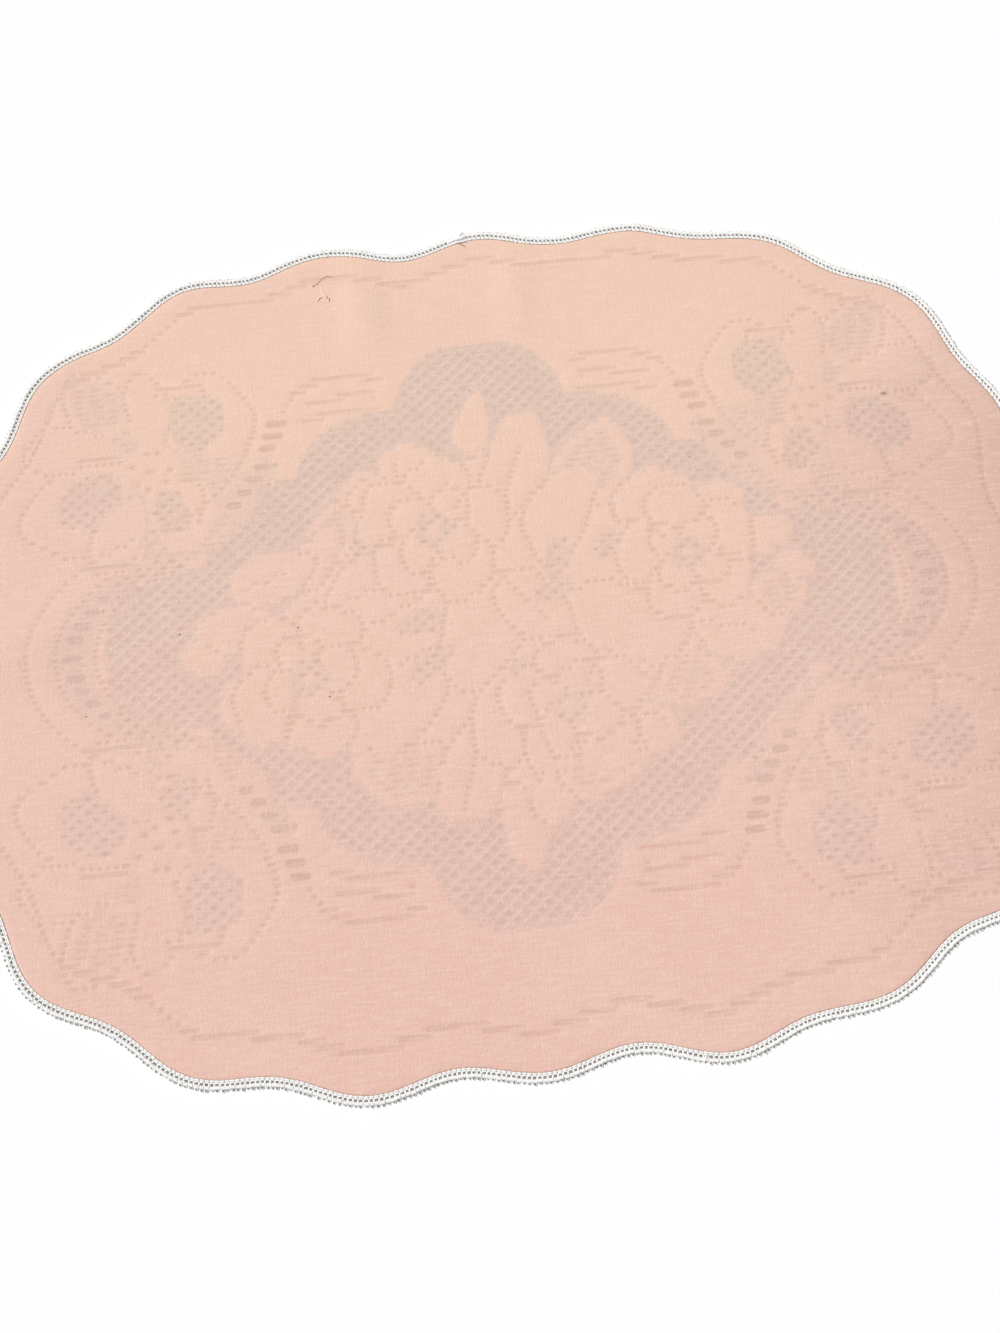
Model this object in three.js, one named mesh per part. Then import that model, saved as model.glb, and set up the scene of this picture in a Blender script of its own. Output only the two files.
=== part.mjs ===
// Oval lace placemat with a scalloped edge and a white picot edging, lying flat.
// Millimetres, +Z up. X runs along the long way of the mat, Y towards its back edge,
// and the origin is under the middle of the mat, on the surface it lies on.

import * as THREE from 'three';

// The cloth is a squared oval, measured to the middle of its scallops.
const halfWidth = 221;
const halfDepth = 172.8;
const squareness = 2.9;
const scallopCount = 20;
const scallopDepth = 6; // from crest to trough

// Where the edge was cut proud or shy of even scallops. Scallops are counted from the middle
// of the back edge round by the left end, and reach is in scallops each way.
const slips = [
  { scallop: 0.25, reach: 0.5, out: -2.2 },
  { scallop: 0.7, reach: 0.4, out: 1.3 },
  { scallop: 1.75, reach: 0.45, out: 2 },
  { scallop: 2.25, reach: 0.5, out: -2.6 },
  { scallop: 3.2, reach: 0.6, out: -1.6 },
  { scallop: 8.6, reach: 1, out: 2.4 },
  { scallop: 10.3, reach: 0.8, out: -2.4 },
  { scallop: 12.25, reach: 0.75, out: -4.6 },
  { scallop: 16.6, reach: 0.7, out: 1.4 },
  { scallop: 18.55, reach: 0.5, out: 2.4 },
  { scallop: 19.15, reach: 0.35, out: -1.8 },
  { scallop: 19.75, reach: 0.5, out: 1.8 },
];

const clothThickness = 1.2;
const edgingThickness = 1.6;
const edgingWidth = 4.1;
const edgingGap = 0.35; // between the cloth's cut edge and the edging
const edgingBevel = 0.5; // rounds the edging's long corners

// Stations around the edge. The rings inside it thin out towards the middle.
const stationCount = 200;
const rings = [
  { reach: 1, stations: stationCount },
  { reach: 0.955, stations: stationCount },
  { reach: 0.91, stations: stationCount },
  { reach: 0.86, stations: stationCount },
  { reach: 0.8, stations: stationCount / 2 },
  { reach: 0.7, stations: stationCount / 2 },
  { reach: 0.57, stations: stationCount / 2 },
  { reach: 0.42, stations: stationCount / 4 },
  { reach: 0.22, stations: stationCount / 4 },
];

// Soft folds where the cloth stands a little off the surface: two short creases by the
// back edge, and a swell at the left end and at each right corner. Each is a ridge along
// its own line, turned from X, and dies away to nothing at its reach and its spread.
const folds = [
  { x: -47, y: 148, turn: 92, reach: 40, spread: 14, rise: 1.0 },
  { x: 20, y: 150, turn: 87, reach: 36, spread: 13, rise: 0.8 },
  { x: -204, y: 6, turn: 3, reach: 40, spread: 20, rise: 1.1 },
  { x: 186, y: 100, turn: 40, reach: 44, spread: 20, rise: 0.9 },
  { x: 192, y: -52, turn: -22, reach: 46, spread: 24, rise: 1.2 },
];

// How far the cloth stands off the surface at a point.
function liftAt(x, y) {
  let lift = 0;
  for (const fold of folds) {
    const turn = THREE.MathUtils.degToRad(fold.turn);
    const dx = x - fold.x;
    const dy = y - fold.y;
    const along = (dx * Math.cos(turn) + dy * Math.sin(turn)) / fold.reach;
    const across = (dy * Math.cos(turn) - dx * Math.sin(turn)) / fold.spread;
    if (Math.abs(along) < 1 && Math.abs(across) < 1) {
      lift += fold.rise * (1 - along ** 2) ** 2 * (1 - across ** 2) ** 2;
    }
  }
  return lift;
}

// The squared oval, from the middle of the back edge round by the left end.
class OvalLine extends THREE.Curve {
  getPoint(t) {
    const angle = Math.PI / 2 + 2 * Math.PI * t;
    const across = Math.abs(Math.cos(angle) / halfWidth) ** squareness;
    const away = Math.abs(Math.sin(angle) / halfDepth) ** squareness;
    const radius = (across + away) ** (-1 / squareness);
    return new THREE.Vector2(radius * Math.cos(angle), radius * Math.sin(angle));
  }
}

// How far proud of the even scallops the edge stands at a place counted in scallops.
function slipAt(scallop) {
  let out = 0;
  for (const slip of slips) {
    const away = Math.abs(scallop - slip.scallop);
    const share = Math.min(away, scallopCount - away) / slip.reach;
    if (share < 1) {
      out += slip.out * (1 - share ** 2) ** 2;
    }
  }
  return out;
}

// The cut edge: the oval pushed out and in by the scallops, a crest at the middle of each
// side, and centred on the origin. u runs from 0 to 1 by length.
class ScallopLine extends THREE.Curve {
  constructor() {
    super();
    this.oval = new OvalLine();
    this.oval.arcLengthDivisions = 4000;
    this.centre = new THREE.Vector2();
    const box = new THREE.Box2();
    for (let i = 0; i < 2000; i += 1) {
      box.expandByPoint(this.getPoint(i / 2000));
    }
    box.getCenter(this.centre);
  }

  getPoint(u) {
    const turn = u - Math.floor(u);
    const point = this.oval.getPointAt(turn);
    const tangent = this.oval.getTangentAt(turn);
    const place = scallopCount * turn;
    const out = (scallopDepth / 2) * Math.cos(2 * Math.PI * place) + slipAt(place);
    return new THREE.Vector2(point.x + tangent.y * out, point.y - tangent.x * out).sub(this.centre);
  }
}

// Evenly spaced points of the cut edge, each with the direction out of the cloth.
function edgeStations(count) {
  const line = new ScallopLine();
  const step = 1e-4;
  return Array.from({ length: count }, (_, i) => {
    const u = i / count;
    const tangent = line.getPoint(u + step).sub(line.getPoint(u - step)).normalize();
    return { point: line.getPoint(u), out: new THREE.Vector2(tangent.y, -tangent.x) };
  });
}

// Joins two rings of points with triangles. The inner ring has as many points or half.
function ringBand(outerStart, outerCount, innerStart, innerCount) {
  const faces = [];
  const ratio = outerCount / innerCount;
  for (let j = 0; j < innerCount; j += 1) {
    const a = innerStart + j;
    const b = innerStart + ((j + 1) % innerCount);
    const outer = (k) => outerStart + ((j * ratio + k) % outerCount);
    if (ratio === 2) {
      faces.push([outer(0), outer(1), a], [outer(1), b, a], [outer(1), outer(2), b]);
    } else {
      faces.push([outer(0), outer(1), b], [outer(0), b, a]);
    }
  }
  return faces;
}

function meshGeometry(points, faces) {
  const geometry = new THREE.BufferGeometry();
  geometry.setAttribute('position', new THREE.Float32BufferAttribute(points.flat(), 3));
  geometry.setIndex(faces.flat());
  geometry.computeVertexNormals();
  return geometry;
}

// One sheet of even thickness: the same rings above and below, with a wall at the edge.
function clothGeometry() {
  const edge = edgeStations(stationCount);
  const sheet = [];
  const starts = [];
  for (const ring of rings) {
    starts.push(sheet.length);
    const every = stationCount / ring.stations;
    for (let j = 0; j < ring.stations; j += 1) {
      const { point } = edge[j * every];
      sheet.push([point.x * ring.reach, point.y * ring.reach]);
    }
  }
  const middle = sheet.length;
  sheet.push([0, 0]);

  const top = [];
  for (let k = 0; k + 1 < rings.length; k += 1) {
    top.push(...ringBand(starts[k], rings[k].stations, starts[k + 1], rings[k + 1].stations));
  }
  const last = rings.length - 1;
  const lastCount = rings[last].stations;
  for (let j = 0; j < lastCount; j += 1) {
    top.push([starts[last] + j, starts[last] + ((j + 1) % lastCount), middle]);
  }

  const count = sheet.length;
  const points = [
    ...sheet.map(([x, y]) => [x, y, liftAt(x, y) + clothThickness]),
    ...sheet.map(([x, y]) => [x, y, liftAt(x, y)]),
  ];
  const bottom = top.map(([a, b, c]) => [a + count, c + count, b + count]);
  const wall = [];
  for (let j = 0; j < stationCount; j += 1) {
    const next = (j + 1) % stationCount;
    wall.push([j, j + count, next], [next, j + count, next + count]);
  }
  return meshGeometry(points, [...top, ...bottom, ...wall]);
}

// The edging: one flat braid with bevelled corners that follows the scallops all round.
function edgingGeometry() {
  const inner = edgingGap;
  const outer = edgingGap + edgingWidth;
  const section = [
    { out: inner, up: 0 },
    { out: outer - edgingBevel, up: 0 },
    { out: outer, up: edgingThickness / 2 },
    { out: outer - edgingBevel, up: edgingThickness },
    { out: inner + edgingBevel, up: edgingThickness },
    { out: inner, up: edgingThickness - edgingBevel },
  ];
  const edge = edgeStations(stationCount);
  const points = [];
  for (const { point, out } of edge) {
    const lift = liftAt(point.x, point.y);
    for (const corner of section) {
      points.push([point.x + out.x * corner.out, point.y + out.y * corner.out, lift + corner.up]);
    }
  }
  const sides = section.length;
  const faces = [];
  for (let i = 0; i < stationCount; i += 1) {
    const here = i * sides;
    const next = ((i + 1) % stationCount) * sides;
    for (let k = 0; k < sides; k += 1) {
      const turn = (k + 1) % sides;
      faces.push([here + k, next + k, here + turn], [here + turn, next + k, next + turn]);
    }
  }
  return meshGeometry(points, faces);
}

const peachLace = new THREE.MeshStandardMaterial({ color: '#ecc9b8', roughness: 0.95, metalness: 0 });
const whiteThread = new THREE.MeshStandardMaterial({ color: '#f7f6f0', roughness: 0.7, metalness: 0 });

const laceCloth = new THREE.Mesh(clothGeometry(), peachLace);
laceCloth.name = 'lace_cloth';

const picotEdging = new THREE.Mesh(edgingGeometry(), whiteThread);
picotEdging.name = 'picot_edging';

const placemat = new THREE.Group();
placemat.add(laceCloth, picotEdging);

export default placemat;
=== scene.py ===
import math
import random
from functools import partial

import bpy
import numpy as np
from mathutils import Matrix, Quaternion, Vector
from mathutils.geometry import delaunay_2d_cdt


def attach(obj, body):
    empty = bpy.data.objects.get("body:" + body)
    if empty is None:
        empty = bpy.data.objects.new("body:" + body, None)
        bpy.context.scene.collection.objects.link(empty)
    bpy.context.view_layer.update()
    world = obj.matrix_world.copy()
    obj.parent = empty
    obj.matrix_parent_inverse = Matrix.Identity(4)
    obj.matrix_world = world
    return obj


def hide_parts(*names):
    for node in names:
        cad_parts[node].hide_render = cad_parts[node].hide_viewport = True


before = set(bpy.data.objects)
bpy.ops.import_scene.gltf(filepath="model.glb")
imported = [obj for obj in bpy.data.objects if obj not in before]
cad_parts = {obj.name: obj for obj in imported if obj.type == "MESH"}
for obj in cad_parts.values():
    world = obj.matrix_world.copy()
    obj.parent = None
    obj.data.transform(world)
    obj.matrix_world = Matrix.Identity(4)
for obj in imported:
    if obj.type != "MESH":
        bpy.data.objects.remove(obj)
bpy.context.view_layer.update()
print("frame loaded")

# Lengths are in millimetres until a mesh is made.
mm = 0.001
scene = bpy.context.scene
jitter = random.Random(11)


# The plan of the cloth: a squared oval with a scalloped edge, the same as the frame's.
plan = {
    "halfWidth": 221.0,  # to the middle of the scallops
    "halfDepth": 172.8,
    "squareness": 2.9,
    "scallops": 20,
    "scallopDepth": 6.0,  # crest to trough
    "thickness": 1.2,
    "edgePoints": 4000,  # that the cut edge is worked out with
    "flat": (0.448, 0.3518),  # metres, the piece of lace it is cut from
    "area": 0.134,  # square metres inside the cut edge
    # where the cut is proud or shy: scallops from the back's middle by the left, reach, out
    "slips": [
        (0.25, 0.5, -2.2), (0.7, 0.4, 1.3), (1.75, 0.45, 2.0), (2.25, 0.5, -2.6),
        (3.2, 0.6, -1.6), (8.6, 1.0, 2.4), (10.3, 0.8, -2.4), (12.25, 0.75, -4.6),
        (16.6, 0.7, 1.4), (18.55, 0.5, 2.4), (19.15, 0.35, -1.8), (19.75, 0.5, 1.8),
    ],
    # soft swells off the table: x, y, turn, reach, spread, rise
    "folds": [
        (-47, 148, 92, 40, 14, 1.0), (20, 150, 87, 36, 13, 0.8), (-204, 6, 3, 40, 20, 1.1),
        (186, 100, 40, 44, 20, 0.9), (192, -52, -22, 46, 24, 1.2),
    ],
}


def outwardOf(line):
    along = np.roll(line, -1, 0) - np.roll(line, 1, 0)
    along /= np.hypot(*along.T)[:, None]
    return np.c_[along[:, 1], -along[:, 0]]


def evenly(line, count):  # points at even steps along a closed line
    ring = np.vstack([line, line[:1]])
    far = np.r_[0, np.cumsum(np.hypot(*np.diff(ring, axis=0).T))]
    at = np.arange(count) / count * far[-1]
    return np.c_[np.interp(at, far, ring[:, 0]), np.interp(at, far, ring[:, 1])]


def squaredOval(wide, deep, power, count):  # from the middle of the back round by the left
    angle = math.pi / 2 + 2 * math.pi * np.arange(count) / count
    share = np.abs(np.cos(angle) / wide) ** power + np.abs(np.sin(angle) / deep) ** power
    radius = share ** (-1 / power)
    return np.c_[radius * np.cos(angle), radius * np.sin(angle)]


def makeCutEdge():
    count = plan["edgePoints"]
    oval = squaredOval(plan["halfWidth"], plan["halfDepth"], plan["squareness"], 2 * count)
    line = evenly(oval, count)
    place = np.arange(count) / count * plan["scallops"]
    out = plan["scallopDepth"] / 2 * np.cos(2 * math.pi * place)
    for scallop, reach, proud in plan["slips"]:
        gap = np.abs(place - scallop)
        gap = np.minimum(gap, plan["scallops"] - gap) / reach
        out += np.where(gap < 1, proud * (1 - gap**2) ** 2, 0)
    line = line + outwardOf(line) * out[:, None]
    return line - (line.max(0) + line.min(0)) / 2


cutEdge = makeCutEdge()


def edgeLine(count, inset=0.0):  # a line round the mat, inset from the cut edge
    return evenly(cutEdge - outwardOf(cutEdge) * inset, count)


def liftAt(points):
    lift = np.zeros(len(points))
    for x, y, turn, reach, spread, rise in plan["folds"]:
        turn = math.radians(turn)
        dx, dy = points[:, 0] - x, points[:, 1] - y
        along = np.clip((dx * math.cos(turn) + dy * math.sin(turn)) / reach, -1, 1)
        across = np.clip((dy * math.cos(turn) - dx * math.sin(turn)) / spread, -1, 1)
        lift += rise * (1 - along**2) ** 2 * (1 - across**2) ** 2
    return lift


# Every petal and leaf is an egg with a wandering edge.
petal = {
    "waves": (0.06, 0.04),  # how far the edge wanders, in three waves and in five
    "points": 72,
}


def wander(t, x, y):  # no two petals alike, so it depends on the petal's place
    threes, fives = petal["waves"]
    return 1 + threes * np.sin(3 * t + x) + fives * np.sin(5 * t + y)


def petalLine(x, y, long, wide, turn, tip):  # tip narrows the end that the egg points to
    t = np.linspace(0, 2 * math.pi, petal["points"], endpoint=False)
    reach = wander(t, x, y)
    u, v = long * reach * np.cos(t), wide * reach * np.sin(t) * (1 - tip * np.cos(t))
    turn = math.radians(turn)
    return np.c_[x + u * math.cos(turn) - v * math.sin(turn), y + u * math.sin(turn) + v * math.cos(turn)]


# Part of an oval, in degrees from the right, with a point about every half millimetre.
def arcLine(x, y, wide, deep, start, end):
    count = max(3, int(abs(end - start) * max(wide, deep) / 30))
    t = np.radians(np.linspace(start, end, count))
    return np.c_[x + wide * np.cos(t), y + deep * np.sin(t)]


def inside(points, line):
    low, high = line.min(0), line.max(0)
    near = np.flatnonzero(((points > low) & (points < high)).all(1))
    x, y = points[near, 0], points[near, 1]
    hit = np.zeros(len(near), bool)
    for (ax, ay), (bx, by) in zip(line, np.roll(line, -1, 0)):
        if ay != by:
            hit ^= ((ay > y) != (by > y)) & (x < (bx - ax) * (y - ay) / (by - ay) + ax)
    found = np.zeros(len(points), bool)
    found[near] = hit
    return found


# A rose is rings of round petals about an open heart. Sizes are shares of the rose's.
rose = {
    "rings": [  # petals, how far out, half length, half width, tip
        (5, 0.6, 0.47, 0.46, -0.12), (4, 0.33, 0.34, 0.3, 0.0),
    ],
    "heart": [(0.27, "heart"), (0.09, "pip")],  # radius, stitch
    "notches": [(0.5, 0.46, 0.7), (2.5, 0.5, 0.8), (3.5, 0.45, 0.7)],  # cuts between petals, from, to
    "uneven": 0.12,
}

# The flowers in the middle, the lowest first. Petals and leaves are eggs:
# x, y, half length, half width, turn, tip, stitch
bouquet = {
    "ground": (98.0, 72.0, 1.15),  # the solid cloth that they lie on
    "leaves": [
        (12, 66, 25, 13, 68, 0.15, "veined"), (-28, 64, 19, 13, 150, 0.0, "rimmed"),
        (-4, 86, 15, 7, 78, 0.3, "plain"), (-52, 58, 12, 10, 20, 0.0, "rimmed"),
        (-66, 43, 14, 9, 70, 0.2, "striped"), (-74, 32, 14, 8, 60, 0.0, "plain"),
        (-92, 26, 18, 11, 18, 0.1, "veined"), (-108, 6, 15, 10, 10, 0.2, "plain"),
        (-121, -6, 9, 6, -20, 0.3, "plain"), (-104, -24, 13, 9, 35, 0.0, "plain"),
        (-75, -41, 12, 6, 15, 0.2, "plain"), (-44, -59, 20, 13, -5, 0.0, "striped"),
        (-18, -62, 20, 13, 72, 0.0, "veined"), (0, -84, 17, 8, 100, 0.2, "plain"),
        (14, -72, 15, 8, 62, 0.0, "plain"), (33, -64, 19, 11, 15, 0.0, "striped"),
        (54, -52, 11, 9, 0, 0.0, "rimmed"), (72, -34, 15, 10, 10, 0.0, "striped"),
        (94, -14, 20, 13, -12, 0.0, "veined"), (113, -2, 11, 9, -10, 0.0, "striped"),
        (122, 9, 9, 5, -30, 0.2, "plain"), (112, 24, 12, 8, 10, 0.2, "plain"),
        (92, 40, 14, 8, 20, 0.1, "plain"), (44, 62, 21, 15, 45, 0.0, "striped"),
        (66, 46, 17, 10, 20, 0.0, "plain"), (28, 42, 22, 13, 60, 0.0, "plain"),
        (-48, 18, 25, 14, 20, 0.0, "veined"), (-44, -32, 26, 14, 40, 0.1, "plain"),
        (50, -8, 26, 16, -25, 0.0, "plain"), (-8, -4, 27, 17, 65, 0.0, "plain"),
        (-4, -42, 20, 12, 80, 0.0, "plain"), (14, 2, 20, 12, -50, 0.1, "veined"),
        # where the net shows between them
        (25, 22, 11, 5, 70, 0.0, "chink"), (22, 9, 8, 5, 20, 0.0, "chink"),
        (-33, 1, 10, 5, 15, 0.0, "chink"), (-30, -17, 11, 5, 35, 0.0, "chink"),
        (-52, 38, 8, 5, 60, 0.0, "chink"), (46, 26, 7, 4, 60, 0.0, "chink"),
        (4, -22, 6, 4, 70, 0.0, "chink"), (52, -34, 7, 4, 0, 0.0, "chink"),
    ],
    # x, y, size, turn
    "roses": [(-79, -18, 30, 65), (24, -40, 28, 20), (79, 19, 28, 100), (-24, 40, 30, 10)],
}

# One quarter of the frame round them. The other three mirror it.
border = {
    "inset": (12.5, 2.0),  # the dashed line: how far inside the cut edge, and how far back it is shifted
    # the net's lobes: x, y, half width, half depth, squareness
    "net": [(0, 90, 37, 35, 2.2), (0, 42, 82, 56, 3.6), (68, 26, 52, 45, 2.2), (108, 0, 53, 34, 3)],
    # bands of mesh along a scroll: x, y, half width, half depth, from, to, half width at each end
    "bands": [
        (108, 0, 66, 42, 0, 66, 6, 4.5), (154, 110, 71, 71, 206, 262, 4, 9), (128, 40, 26, 12, 10, 120, 4, 4),
    ],
    # the corner flower and its leaves, the lowest first
    "leaves": [
        (134, 74, 40, 30, 25, 0.0, "veil"), (164, 112, 18, 13, 50, 0.1, "striped"),
        (117, 102, 22, 18, 30, 0.0, "plain"), (122, 100, 14, 13, 40, 0.0, "chink"),
        (142, 107, 19, 9, 80, 0.0, "plain"), (174, 91, 21, 11, 10, -0.1, "plain"),
        (170, 64, 25, 20, -20, 0.0, "plain"), (165, 66, 14, 14, 0, 0.0, "chink"),
        (155, 50, 18, 10, -65, -0.1, "plain"), (129, 60, 18, 14, 70, 0.0, "plain"),
        (132, 60, 11, 7, 65, 0.0, "chink"),
        (141, 80, 12, 11, 0, 0.0, "pip"),
    ],
    "eye": (141, 80, 8.0, 11),  # x, y, radius, dots
    # dotted scrolls: x, y, half width, half depth, from, to
    "scrolls": [
        (108, 0, 57, 37, 0, 66), (108, 0, 73, 46, 0, 68), (108, 0, 85, 55, 0, 74),
        (154, 110, 60, 60, 196, 252),
    ],
    # ribbons and short strokes, which open wider
    "ribbons": [
        (58, 92, 28, 23, 10, 125), (52, 60, 60, 45, 70, 97), (52, 60, 60, 38, 68, 98),
        (128, 98, 40, 18, 74, 106), (165, 60, 26, 28, 80, 120), (160, 10, 40, 28, 80, 112),
        (124, 64, 5, 10, 60, 240),
    ],
    # ladders of large holes along a scroll, and the holes' width at each end
    "ladders": [(154, 110, 68, 68, 192, 226, 9.5, 7), (108, 0, 66, 42, 0, 36, 9, 6)],
}

# The lace's stitches. Each opening is a hollow in the cloth, of one of five kinds.
stitches = {
    "course": 2.72,  # one row of openings, back to front
    "wale": 3.17,  # half the net's step along the row
    "net": (2.15, 1.7, 0.1),  # half width, half height, depth
    "mesh": (2.1, 1.5, 0.11),
    "slot": 0.12,  # depth of a dot or dash, and of the next two
    "ladder": 0.06,
    "stripe": 0.08,
    # the least thread between openings; below nothing, round holes may nest
    "gap": {"slot": 0.1, "ladder": 0.5, "stripe": 0.3, "net": -0.5, "mesh": -0.3},
    "slope": {"slot": 0.5, "stripe": 0.45},  # width of a hollow's side
    "softSlope": 0.9,  # the same for the others
    "netSunk": 0.08,  # the net lies this much under the solid cloth
    # painted shade: how dark a hollow's floor is painted; past 1 the table is painted showing through in
    # shade
    "shade": {"stripe": 0.5, "net": 0.8, "mesh": 1.15, "slot": 0.6, "ladder": 1.1},
}
quarters = [(1, 1), (-1, 1), (-1, -1), (1, -1)]

# How open a stretch of cloth is, from 0 for solid to 1 for net.
openness = {"veil": 0.35, "band": 0.65}
openStitches = {  # petals with an open middle: its share of the petal, how open
    "striped": (0.74, 0.35), "mesh": (0.6, 0.55), "heart": (1.0, 0.7), "chink": (1.0, 0.7),
}
unlined = ("veil", "heart", "pip", "chink")  # no dotted line round these

# Dots and dashes, in half heights: petals' outlines, lines within them, cuts between them,
# scrolls, ribbons, and the dashes along the edge.
lineHeights = {
    "outline": 1.15, "inner": 0.95, "notch": 1.2, "scroll": 1.0, "ribbon": 1.15, "edge": 1.3,
}
dots = {
    "width": 2.9,
    "widest": 4,  # anything wider is a dash
    "least": 1.6,  # what is left of a dot that gives way to another
    "thread": 0.35,  # half of the thread between two dots
    "apart": 0.7,  # closer than this they meet
    "overlap": 0.8,
    "overrun": 2.2,  # how far a dash runs on past its end, so that long ones overlap
    "shortest": 1,  # half width of the shortest dash worth opening
}
eyeHoles = {"ring": (1.8, 1.35), "middle": (2.4, 1.4)}  # half width, half height
rungs = {"tall": 2.0, "courses": 2.1, "uneven": 0.6}  # half height, rows to a rung
meshes = {"least": 0.62, "astray": 0.3}  # share of the full size, how far off the lattice
# in half-open cloth: usual and least length, thread at each end, least share, half height
stripes = {"long": 7, "shortest": 2.4, "end": 0.4, "least": 0.6, "tall": 0.75}


def roseEggs(x, y, size, turn):
    eggs = []
    for ring, (count, out, long, wide, tip) in enumerate(rose["rings"]):
        for k in range(count):
            angle = turn + 360 * (k + 0.5 * ring) / count
            at = math.radians(angle)
            big = size * jitter.uniform(1 - rose["uneven"], 1 + rose["uneven"])
            place = (x + size * out * math.cos(at), y + size * out * math.sin(at))
            eggs.append((*place, big * long, big * wide, angle, tip, "plain"))
    return eggs + [(x, y, size * radius, size * radius, 0, 0, stitch) for radius, stitch in rose["heart"]]


def makePatches():  # each patch is an egg and the quarter that it is mirrored into
    eggs = bouquet["leaves"] + [egg for flower in bouquet["roses"] for egg in roseEggs(*flower)]
    return [(egg, (1, 1)) for egg in eggs] + [(egg, side) for side in quarters for egg in border["leaves"]]


patches = makePatches()


def outlineOf(patch, share=1.0):
    (x, y, long, wide, turn, tip, _), side = patch
    return petalLine(x, y, long * share, wide * share, turn, tip) * side


def onPatch(points, patch, share=1.0):
    (x, y, long, wide, turn, tip, _), side = patch
    across, away = points[:, 0] * side[0] - x, points[:, 1] * side[1] - y
    turn = math.radians(turn)
    u = (across * math.cos(turn) + away * math.sin(turn)) / (long * share)
    v = (away * math.cos(turn) - across * math.sin(turn)) / (wide * share)
    v /= 1 - tip * np.clip(u, -1, 1)
    return np.hypot(u, v) < wander(np.arctan2(v, u), x, y)


def onGround(points):
    wide, deep, power = bouquet["ground"]
    return (np.abs(points[:, 0]) / wide) ** power + (np.abs(points[:, 1]) / deep) ** power < 1


def onNet(points):
    far = np.abs(points)
    found = np.zeros(len(points), bool)
    for x, y, wide, deep, power in border["net"]:
        found |= (np.abs(far[:, 0] - x) / wide) ** power + (np.abs(far[:, 1] - y) / deep) ** power < 1
    return found & ~onGround(points)


def onBand(points, band):
    x, y, wide, deep, start, end, first, last = band
    across, away = (np.abs(points[:, 0]) - x) / wide, (np.abs(points[:, 1]) - y) / deep
    turn = np.degrees(np.arctan2(away, across)) % 360
    half = first + (last - first) * (turn - start) / (end - start)
    return (turn >= start) & (turn <= end) & (np.abs(np.hypot(across, away) - 1) * (wide + deep) / 2 < half)


# How open the lace is at each point, from 0 for solid to 1 for net, under the patches given.
# It is the same all through a row, because the stitch can only change on a row.
def opennessAt(points, covers):
    points = np.c_[points[:, 0], np.round(points[:, 1] / stitches["course"]) * stitches["course"]]
    net = onNet(points).astype(float)
    for band in border["bands"]:
        net[onBand(points, band)] = openness["band"]
    for patch in covers:
        stitch = patch[0][6]
        net[onPatch(points, patch)] = openness.get(stitch, 0)
        if stitch in openStitches:
            share, tone = openStitches[stitch]
            net[onPatch(points, patch, share)] = tone
    return net


def coveredBy(points, covers):
    found = np.zeros(len(points), bool)
    for patch in covers:
        found |= onPatch(points, patch)
    return found


def runs(flags):  # the stretches of a line where the flags are set
    marked = np.flatnonzero(flags)
    return np.split(marked, np.flatnonzero(np.diff(marked) > 1) + 1) if len(marked) else []


# Lines inside a petal: an arc along one side of it, or a vein down the middle.
def innerLine(patch):
    (x, y, long, _, turn, _, stitch), side = patch
    if stitch == "rimmed":
        return outlineOf(patch, 0.6)[:48]
    far = np.linspace(-0.8, 0.35, 30) * long
    turn = math.radians(turn)
    return np.c_[x + far * math.cos(turn), y + far * math.sin(turn)] * side


def notchLines():
    lines = []
    for x, y, size, turn in bouquet["roses"]:
        for place, start, end in rose["notches"]:
            at = math.radians(turn + 72 * place)  # a fifth of a turn to each petal
            far = np.linspace(start * size, end * size, 12)
            lines.append(np.c_[x + far * math.cos(at), y + far * math.sin(at)])
    return lines


# The open lines of the pattern, each with its half height and whether it is dots all along.
# Patches are laid one over another, so a line shows only where no later one covers it.
def drawLines():
    lines = []
    for k, patch in enumerate(patches):
        stitch = patch[0][6]
        if stitch in unlined:
            continue
        over = patches[k + 1 :]
        line = evenly(outlineOf(patch), 240)
        shown = (opennessAt(line, patches[:k]) < 0.1) & ~coveredBy(line, over)
        lines += [(line[run], lineHeights["outline"], True) for run in runs(shown) if len(run) > 3]
        if stitch in ("rimmed", "veined"):
            line = innerLine(patch)
            shown = ~coveredBy(line, over)
            lines += [(line[run], lineHeights["inner"], True) for run in runs(shown) if len(run) > 3]
    lines += [(line, lineHeights["notch"], False) for line in notchLines()]
    for side in quarters:
        lines += [(arcLine(*arc) * side, lineHeights["scroll"], True) for arc in border["scrolls"]]
        lines += [(arcLine(*arc) * side, lineHeights["ribbon"], False) for arc in border["ribbons"]]
    inset, back = border["inset"]
    dashes = edgeLine(1400, inset) + (0, back)
    lines.append((np.vstack([dashes, dashes[:1]]), lineHeights["edge"], False))
    return lines


def joined(spans):  # the spans of one row: those that meet become one, but two dots stay two
    spans.sort()
    kept = [spans[0]]
    for low, high, tall in spans[1:]:
        last = kept[-1]
        middle = (low + last[1]) / 2
        bothDots = high - low < dots["widest"] and last[1] - last[0] < dots["widest"]
        roomy = middle - dots["least"] > last[0] and high - dots["least"] > middle
        if low >= last[1] + dots["apart"]:
            kept.append([low, high, tall])
        elif bothDots and roomy and low > last[1] - dots["overlap"]:
            last[1] = middle - dots["thread"]
            kept.append([middle + dots["thread"], high, tall])
        else:
            last[1], last[2] = max(last[1], high), max(last[2], tall)
    return kept


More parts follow.
